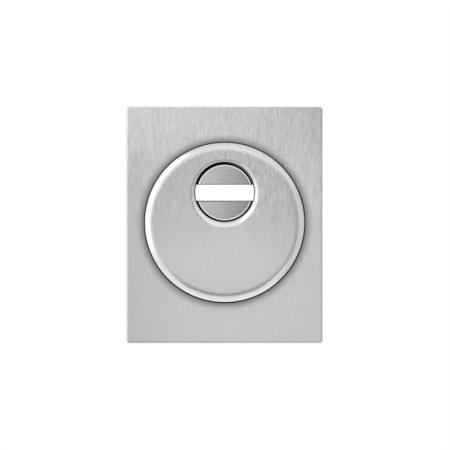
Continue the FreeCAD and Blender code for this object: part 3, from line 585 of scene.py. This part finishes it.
# The boss is a cup turned from stainless steel bar. Its domed front is brushed upright, the bevel
# round it and the countersink of the key opening are polished, and a flange holds it under the cover.
BOSS_DROP = -8.8 * MM
BOSS_STEPS = 192
LIP_UP = 0.15 * MM
LIP_RADIUS = 8.85 * MM
LIP_HEIGHT = 16.48 * MM
SINK_SLOPE = math.tan(math.radians(40))
SINK_ROUND = 0.25 * MM
SINK_STEPS = 6
SINK_TRIES = 30
FACE_BACK = 14.0 * MM
CROWN = 17.65 * MM
DOME = 210.0 * MM
BEVEL_RIM = 21.75 * MM
BEVEL_DEPTH = 1.25 * MM
RIM_START = 20.6 * MM
RIM_ROUND = 4.5 * MM
RIM_SLOPE = math.radians(36)
BOSS_RADIUS = 23.4 * MM
BOSS_EDGE = 0.1 * MM
FRONT_RINGS = 15
RIM_STEPS = 6
BEVEL_STEPS = 8
CUP_RADIUS = 20.6 * MM
FLANGE_RADIUS = 26.15 * MM
FLANGE_TOP = 7.7 * MM
FLANGE_BACK = 4.0 * MM
FOOT_HEIGHT = 9.0 * MM
POLISH_START = 21.6 * MM
FRINGE = 0.7 * MM
LOWER_SHEEN_TOP = 6.0 * MM
LOWER_SHEEN_BOTTOM = -24.0 * MM
COARSE_FROM = -16.0 * MM
COARSE_TO = 3.0 * MM
RIGHT_FROM = -0.4 * BOSS_RADIUS
RIGHT_TO = 0.4 * BOSS_RADIUS
STEEL_LIGHT = (0.78, 0.762, 0.785, 1)
STEEL_DARK = (0.38, 0.371, 0.39, 1)
POLISH_LIGHT = (0.84, 0.84, 0.845, 1)
POLISH_DARK = (0.58, 0.58, 0.59, 1)
BORDER_SHARE = 0.45
BORDER_LIGHT = (0.76, 0.76, 0.765, 1)
BORDER_SHADE = (0.34, 0.335, 0.34, 1)
BORDER_SHADE_UP = 0.5
BORDER_SHADE_LEFT = 0.87
BORDER_SHADE_FROM = -2.0 * MM
BORDER_SHADE_TO = 3.0 * MM
SINK_LIGHT = (0.80, 0.80, 0.805, 1)
SINK_GREY = (0.54, 0.535, 0.54, 1)
FOOT_SHADE_GREY = (0.22, 0.22, 0.22, 1)
FOOT_SHADE_BLACK = (0.08, 0.08, 0.08, 1)


def dome_height(x, z):
    """Height of the domed front over a point."""
    return CROWN - DOME + math.sqrt(DOME**2 - x**2 - (z - BOSS_DROP)**2)


def sink_edge(out, share):
    """Reach and height of the rounding between countersink and dome, one way out from the opening."""
    reach = LIP_RADIUS
    for _ in range(SINK_TRIES):
        height = dome_height(out.x * reach, LIP_UP + out.y * reach)
        reach = LIP_RADIUS + (height - LIP_HEIGHT) / SINK_SLOPE
    below = (reach - SINK_ROUND, height - SINK_ROUND * SINK_SLOPE)
    beyond = reach + SINK_ROUND
    above = (beyond, dome_height(out.x * beyond, LIP_UP + out.y * beyond))
    return [(1 - share)**2 * a + 2 * share * (1 - share) * b + share**2 * c
            for a, b, c in zip(below, (reach, height), above)]


turned = bmesh.new()
lip = new_ring(turned, LIP_UP, LIP_RADIUS, LIP_HEIGHT, BOSS_STEPS)
sink = lip
for step in range(SINK_STEPS + 1):
    sink = carry_rim(turned, sink, LIP_UP, LIP_RADIUS, LIP_HEIGHT)
    for vertex in {vertex for edge in sink for vertex in edge.verts}:
        out = Vector((vertex.co.x, vertex.co.z - LIP_UP)).normalized()
        reach, height = sink_edge(out, step / SINK_STEPS)
        vertex.co = (out.x * reach, -height, LIP_UP + out.y * reach)
outer = new_ring(turned, BOSS_DROP, RIM_START, dome_height(RIM_START, BOSS_DROP), BOSS_STEPS)
front = bmesh.ops.bridge_loops(turned, edges=sink + outer)
spokes = [edge for edge in front["edges"] if edge not in sink and edge not in outer]
laid = bmesh.ops.subdivide_edges(turned, edges=spokes, cuts=FRONT_RINGS, use_grid_fill=True)
for item in laid["geom_inner"]:
    if isinstance(item, bmesh.types.BMVert):
        item.co.y = -dome_height(item.co.x, item.co.z)


def arc_rings(shape, rim, radius, height, slope, end_slope, bow, steps):
    """Carries an open rim round the boss along an arc that bends outwards and down, from slope to slope."""
    for step in range(1, steps + 1):
        bent = slope + (end_slope - slope) * step / steps
        rim = carry_rim(shape, rim, BOSS_DROP, radius + bow * (math.sin(bent) - math.sin(slope)),
                        height - bow * (math.cos(slope) - math.cos(bent)))
    return rim


rim_start = dome_height(RIM_START, BOSS_DROP)
dome_slope = math.asin(RIM_START / DOME)
rim = arc_rings(turned, outer, RIM_START, rim_start, dome_slope, RIM_SLOPE, RIM_ROUND, RIM_STEPS)
bevel_start = RIM_START + RIM_ROUND * (math.sin(RIM_SLOPE) - math.sin(dome_slope))
bevel_top = rim_start - RIM_ROUND * (math.cos(dome_slope) - math.cos(RIM_SLOPE))
shoulder = dome_height(BEVEL_RIM, BOSS_DROP) - BEVEL_DEPTH
lean = math.atan2(bevel_top - shoulder, BOSS_RADIUS - bevel_start)
chord = math.hypot(bevel_top - shoulder, BOSS_RADIUS - bevel_start)
bevel_bow = chord / 2 / math.sin(lean - RIM_SLOPE)
rim = arc_rings(turned, rim, bevel_start, bevel_top, RIM_SLOPE, 2 * lean - RIM_SLOPE, bevel_bow,
                BEVEL_STEPS)
for radius, height in ((BOSS_RADIUS, FLANGE_TOP), (FLANGE_RADIUS, FLANGE_TOP), (FLANGE_RADIUS, FLANGE_BACK),
                       (CUP_RADIUS, FLANGE_BACK), (CUP_RADIUS, FACE_BACK)):
    rim = carry_rim(turned, rim, BOSS_DROP, radius, height)
bore = carry_rim(turned, lip, LIP_UP, LIP_RADIUS, FACE_BACK)
bmesh.ops.bridge_loops(turned, edges=bore + rim)
boss = new_object(turned, "turned_boss")

boss_steel = Finish(bpy.data.materials.new("brushed_boss_steel"))
boss_fine = boss_steel.noise((2600, 2600, 420), detail=2)
boss_broad = boss_steel.noise((900, 900, 90), detail=2)
boss_specks = boss_steel.noise((2800, 2800, 1200), detail=1)
boss_clouds = boss_steel.noise((45, 45, 45), detail=2)
boss_lower_sheen = boss_steel.ramp(boss_steel.along("Z"), LOWER_SHEEN_TOP, LOWER_SHEEN_BOTTOM)
boss_coarse = boss_steel.ramp(boss_steel.along("Z"), COARSE_FROM, COARSE_TO)
boss_right = boss_steel.ramp(boss_steel.along("X"), RIGHT_FROM, RIGHT_TO)
boss_grain = 0.34 * (boss_fine - 0.5) + 0.1 * (boss_broad - 0.5)
boss_fringe_highlight = boss_steel.ramp(boss_steel.distance((0, 0, BOSS_DROP)) + FRINGE * (boss_fine - 0.5),
                              POLISH_START - FRINGE, POLISH_START)
boss_side = boss_steel.along("X") / BOSS_RADIUS
# Painted light: the dome is made lighter towards the bottom, darker towards its left and right sides, a
# little lighter at the right, and lighter near its upper edge where it meets the bevel, standing in for the
# light on the curved front; the clouds, grain and specks are its own.
boss_tone_and_sheen = (0.345 + 0.23 * boss_lower_sheen - 0.15 * boss_side * boss_side + 0.03 * boss_right
             + 0.45 * boss_fringe_highlight * (1 - boss_lower_sheen) + 0.1 * (boss_clouds - 0.5)
             + boss_grain * (0.9 + boss_coarse * (0.9 + 1.8 * boss_right))
             + 0.3 * (boss_specks - 0.5) * boss_coarse)
boss_steel.surface(
    boss_steel.blend(boss_tone_and_sheen, STEEL_DARK, STEEL_LIGHT),
    0.25 + 0.1 * boss_fine, metallic=1.0, relief=boss_fine, depth=0.006 * MM)
polish = Finish(bpy.data.materials.new("polished_boss_steel"))
polish_clouds = polish.noise((150, 150, 150), detail=3)
polish_outer = polish.ramp(polish.distance((0, 0, BOSS_DROP)), BEVEL_RIM, BOSS_RADIUS)
polish_lower_sheen = polish.ramp(polish.along("Z"), BOSS_DROP + BOSS_RADIUS, BOSS_DROP - BOSS_RADIUS)
# Painted light: the bevel is made lighter towards the bottom, and its outer edge lighter at the bottom and
# darker at the top, standing in for highlights and shade on the rounding.
polish_tone_and_sheen = (0.4 + 0.12 * polish_lower_sheen + (polish_outer - 0.5) * (0.9 * polish_lower_sheen - 0.4)
               + 0.3 * (polish_clouds - 0.5))
polish.surface(polish.blend(polish_tone_and_sheen, POLISH_DARK, POLISH_LIGHT), 0.16 + 0.08 * polish_clouds,
               metallic=1.0)
# Painted shade: the flange and the foot of the boss's wall, below the cover's front, are made near black,
# standing in for the shade in the gap round the boss.
foot_shade = Finish(bpy.data.materials.new("boss_foot_painted_shade"))
foot_shade_marks = foot_shade.noise((300, 4000, 300), detail=3)
foot_shade.surface(foot_shade.blend(foot_shade_marks, FOOT_SHADE_BLACK, FOOT_SHADE_GREY), 0.5 + 0.2 * foot_shade_marks,
             metallic=1.0, relief=foot_shade_marks, depth=0.01 * MM)
# Painted shade: the outer part of the countersink, next to the dome, is made grey towards the upper left and
# light towards the lower right, standing in for the shade that lies along that edge.
sink_border = Finish(bpy.data.materials.new("countersink_border_painted_shade"))
border_shade_side = sink_border.along("Z") * BORDER_SHADE_UP - sink_border.along("X") * BORDER_SHADE_LEFT
sink_border_marks = sink_border.noise((1200, 1200, 1200), detail=2)
sink_border.surface(sink_border.blend(sink_border.ramp(border_shade_side, BORDER_SHADE_FROM, BORDER_SHADE_TO), BORDER_LIGHT, BORDER_SHADE),
             0.25 + 0.1 * sink_border_marks, metallic=1.0)
cone = Finish(bpy.data.materials.new("polished_countersink"))
cone_clouds = cone.noise((150, 150, 150), detail=3)
# Painted light: the countersink is made lighter towards the bottom, standing in for the light that it
# mirrors there.
cone_lower_sheen = cone.ramp(cone.along("Z"), LIP_RADIUS, -LIP_RADIUS)
cone.surface(cone.blend(cone_lower_sheen + 0.2 * (cone_clouds - 0.5), SINK_GREY, SINK_LIGHT),
             0.16 + 0.08 * cone_clouds, metallic=1.0)
finish_piece(boss, boss_steel.owner, rounding=BOSS_EDGE, segments=3, sharpest=15)
polished_rim = add_finish(boss, polish)
shaded_foot = add_finish(boss, foot_shade)
shaded_border = add_finish(boss, sink_border)
polished_sink = add_finish(boss, cone)
for face in boss.data.polygons:
    top = max(-boss.data.vertices[k].co.y for k in face.vertices)
    out = Vector((face.center.x, face.center.z - LIP_UP))
    if top < FOOT_HEIGHT:
        face.material_index = shaded_foot
    elif math.hypot(face.center.x, face.center.z - BOSS_DROP) > POLISH_START:
        face.material_index = polished_rim
    elif out.length < sink_edge(out.normalized(), 1)[0]:
        inside = out.length < sink_edge(out.normalized(), BORDER_SHARE)[0]
        face.material_index = polished_sink if inside else shaded_border
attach(boss, "housing")
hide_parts("boss_shell")


# The cover is one sheet of stainless steel, pressed to a shallow tray. It is brushed upright, and
# across on its upper and lower walls. The boss stands out through its round hole, and four clips on
# the base plate hold it by its walls.
COVER_CORNER = 0.9 * MM
COVER_BEND = 0.65 * MM
COVER_WALL = 1.0 * MM
COVER_EDGE = 0.15 * MM
BOSS_HOLE = 23.9 * MM
HOLE_BACK = 5.0 * MM
HOLE_FRONT = 12.0 * MM
WALL_FACING = 0.8
COVER_LIGHT = (0.80, 0.797, 0.805, 1)
COVER_DARK = (0.36, 0.359, 0.365, 1)
BOSS_SHADE_GREY = (0.12, 0.12, 0.12, 1)
BOSS_SHADE_REACH = 2.5 * MM
BOSS_SHADE_STRENGTH = 0.78
BOSS_SHADE_FADE = 1.4

low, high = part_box("cover_plate")
tray = block(low, high)
round_corners(tray, COVER_CORNER)
outline = [edge for edge in tray.edges if all(abs(vertex.co.y - low.y) < NEAR for vertex in edge.verts)]
bmesh.ops.bevel(tray, geom=outline, offset=COVER_BEND, segments=5, profile=0.5, affect="EDGES", material=-1)
cover = new_object(tray, "brushed_cover")
combine(cover, "DIFFERENCE", block((low.x + COVER_WALL, low.y + COVER_WALL, low.z + COVER_WALL),
                                   (high.x - COVER_WALL, high.y + CUT_BEYOND, high.z - COVER_WALL)))
combine(cover, "DIFFERENCE", rod(BOSS_HOLE, BOSS_DROP, HOLE_BACK, HOLE_FRONT, sides=BOSS_STEPS))

cover_steel = Finish(bpy.data.materials.new("brushed_cover_steel"))
cover_fine = cover_steel.noise((2600, 2600, 330), detail=2)
cover_specks = cover_steel.noise((2800, 2800, 1200), detail=1)
cover_broad = cover_steel.noise((700, 700, 90), detail=2)
cover_clouds = cover_steel.noise((40, 40, 40), detail=2)
upper = cover_steel.ramp(cover_steel.along("Z"), low.z, high.z)
top_sheen = cover_steel.ramp(cover_steel.along("Z"), 0.0, high.z)
across = (cover_steel.along("X") - low.x) / (high.x - low.x)
middle = 4 * across * (1 - across)
cover_grain = 0.75 * cover_fine + 0.2 * cover_broad - 0.475
# Painted light: the plate is made lighter at the upper left and in the middle, and at the right darker at
# the top and lighter at the bottom, standing in for how the light falls on it; the clouds, grain and specks
# on top are its own.
cover_tone_and_sheen = (0.37 + 0.12 * middle + 0.26 * top_sheen * (1 - across) + across * (0.11 - 0.21 * top_sheen)
              + 0.12 * (cover_clouds - 0.5) + cover_grain * (0.25 + 0.75 * upper)
              + 0.45 * (cover_specks - 0.5) * upper)
cover_colour = cover_steel.blend(cover_tone_and_sheen, COVER_DARK, COVER_LIGHT)
# Painted shade: the plate is darkened in a ring round the boss's hole, fading out over a few millimetres,
# standing in for the shade at the boss's foot.
from_boss = cover_steel.distance((0, 0, BOSS_DROP))
boss_shade = 1 - (from_boss - BOSS_HOLE) / BOSS_SHADE_REACH
boss_shade = boss_shade.maths("MAXIMUM", boss_shade, 0.0)
finish_piece(cover, cover_steel.surface(
    cover_steel.blend(BOSS_SHADE_STRENGTH * boss_shade ** BOSS_SHADE_FADE, cover_colour, BOSS_SHADE_GREY),
    0.25 + 0.1 * cover_fine, metallic=1.0, relief=cover_fine, depth=0.006 * MM), rounding=COVER_EDGE)
wall_steel = Finish(bpy.data.materials.new("brushed_cover_wall"))
wall_lines = wall_steel.noise((330, 2600, 2600), detail=2)
wall_steel.surface(
    wall_steel.blend(0.5 + 0.8 * (wall_lines - 0.5), COVER_DARK, COVER_LIGHT),
    0.25 + 0.1 * wall_lines, metallic=1.0, relief=wall_lines, depth=0.006 * MM)
across_walls = add_finish(cover, wall_steel)
for face in cover.data.polygons:
    if abs(face.normal.z) > WALL_FACING:
        face.material_index = across_walls
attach(cover, "housing")
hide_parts("cover_plate")


# The camera looks straight at the middle of the plate, from a hair below it.
# It sees the plate at 3.38 pixels a millimetre.
VIEW_DISTANCE = 0.9
VIEW_AZIMUTH = math.radians(0.0)
VIEW_ELEVATION = math.radians(-0.3)
VIEW_LENS = 243.1
VIEW_SENSOR = 36.0
VIEW_AIM = Vector((0.00012, -0.009, -0.00954))

camera = bpy.data.objects.new("camera", bpy.data.cameras.new("camera"))
bpy.context.scene.collection.objects.link(camera)
bpy.context.scene.camera = camera
camera.data.sensor_width = VIEW_SENSOR
camera.data.lens = VIEW_LENS
back = Vector((math.sin(VIEW_AZIMUTH) * math.cos(VIEW_ELEVATION),
               -math.cos(VIEW_AZIMUTH) * math.cos(VIEW_ELEVATION), math.sin(VIEW_ELEVATION)))
camera.location = VIEW_AIM + back * VIEW_DISTANCE
camera.rotation_euler = (-back).to_track_quat("-Z", "Y").to_euler()


# The studio is a white room: metal mirrors plain white all round, and soft light fills the rest.
# A large diffuser on the left brightens the bevels there. In front, a dark card below and a grey card
# on the right draw soft lines along the rounded edges, and a white card stands at the right side.
FLOOR_HEIGHT = -0.28
FLOOR_SIZE = 2.0
FLOOR_COLOUR = (0.72, 0.72, 0.72, 1)
FLOOR_SEEN = 0.75
FLOOR_MIRRORED = 0.9
FLOOR_GLOW = 1.15
ROOM_STRENGTH = 0.8
FELT_ROUGHNESS = 0.9


def rays(finish, *kinds):
    """1 for light that goes by one of these ways, and 0 for the rest."""
    path = 0.0
    for kind in kinds:
        path = finish.node("LightPath", output="Is " + kind + " Ray") + path
    return path.maths("MINIMUM", path, 1.0)


def facing(place):
    """The place of a flat thing whose front looks at the escutcheon."""
    place = Vector(place)
    return Matrix.Translation(place) @ place.to_track_quat("Z", "Y").to_matrix().to_4x4()


def diffuser(name, place, width, height, radiance):
    """A soft lamp that faces the escutcheon."""
    data = bpy.data.lights.new(name, "AREA")
    data.shape = "RECTANGLE"
    data.size = width
    data.size_y = height
    data.energy = radiance * math.pi * width * height
    lamp = bpy.data.objects.new(name, data)
    lamp.matrix_world = facing(place)
    lamp.visible_camera = False
    bpy.context.scene.collection.objects.link(lamp)


def card(name, place, width, height, colour):
    """A felt card that only metal mirrors."""
    sheet = bmesh.new()
    bmesh.ops.create_grid(sheet, x_segments=1, y_segments=1, size=0.5,
                          matrix=facing(place) @ Matrix.Diagonal((width, height, 1, 1)))
    made = new_object(sheet, name)
    felt = Finish(bpy.data.materials.new(name + "_felt"))
    made.data.materials.append(felt.surface(colour, FELT_ROUGHNESS))
    made.visible_camera = False
    made.visible_diffuse = False
    made.visible_shadow = False


bpy.context.scene.view_settings.view_transform = "Standard"
bpy.context.scene.world = bpy.data.worlds.new("white_room")
room = Finish(bpy.context.scene.world)
white = rays(room, "Camera", "Glossy", "Transmission")
room.node("OutputWorld", {}, {"Surface": room.node("Background", {}, {
    "Color": (1, 1, 1, 1), "Strength": ROOM_STRENGTH + (1 - ROOM_STRENGTH) * white})})

diffuser("left_diffuser", place=(-0.6, -0.2, 0.19), width=0.7, height=1.15, radiance=0.48)
card("dark_card", place=(0.0, -0.22, -0.15), width=0.24, height=0.1, colour=(0.5, 0.5, 0.5, 1))
card("grey_card", place=(0.17, -0.22, 0.01), width=0.13, height=0.3, colour=(0.8, 0.8, 0.8, 1))
card("side_card", place=(0.3, -0.04, -0.07), width=0.3, height=0.5, colour=(0.98, 0.98, 0.98, 1))

ground_plane = bmesh.new()
bmesh.ops.create_grid(ground_plane, x_segments=1, y_segments=1, size=FLOOR_SIZE,
                      matrix=Matrix.Translation((0, 0, FLOOR_HEIGHT)))
floor = new_object(ground_plane, "floor")
matt = Finish(bpy.data.materials.new("pale_floor"))
shown = FLOOR_SEEN * rays(matt, "Camera") + FLOOR_MIRRORED * rays(matt, "Glossy", "Transmission")
matt.node("OutputMaterial", {}, {"Surface": matt.node("MixShader", {}, {
    0: shown, 1: matt.node("BsdfDiffuse", {}, {"Color": FLOOR_COLOUR}),
    2: matt.node("Emission", {}, {"Strength": FLOOR_GLOW})})})
floor.data.materials.append(matt.owner)
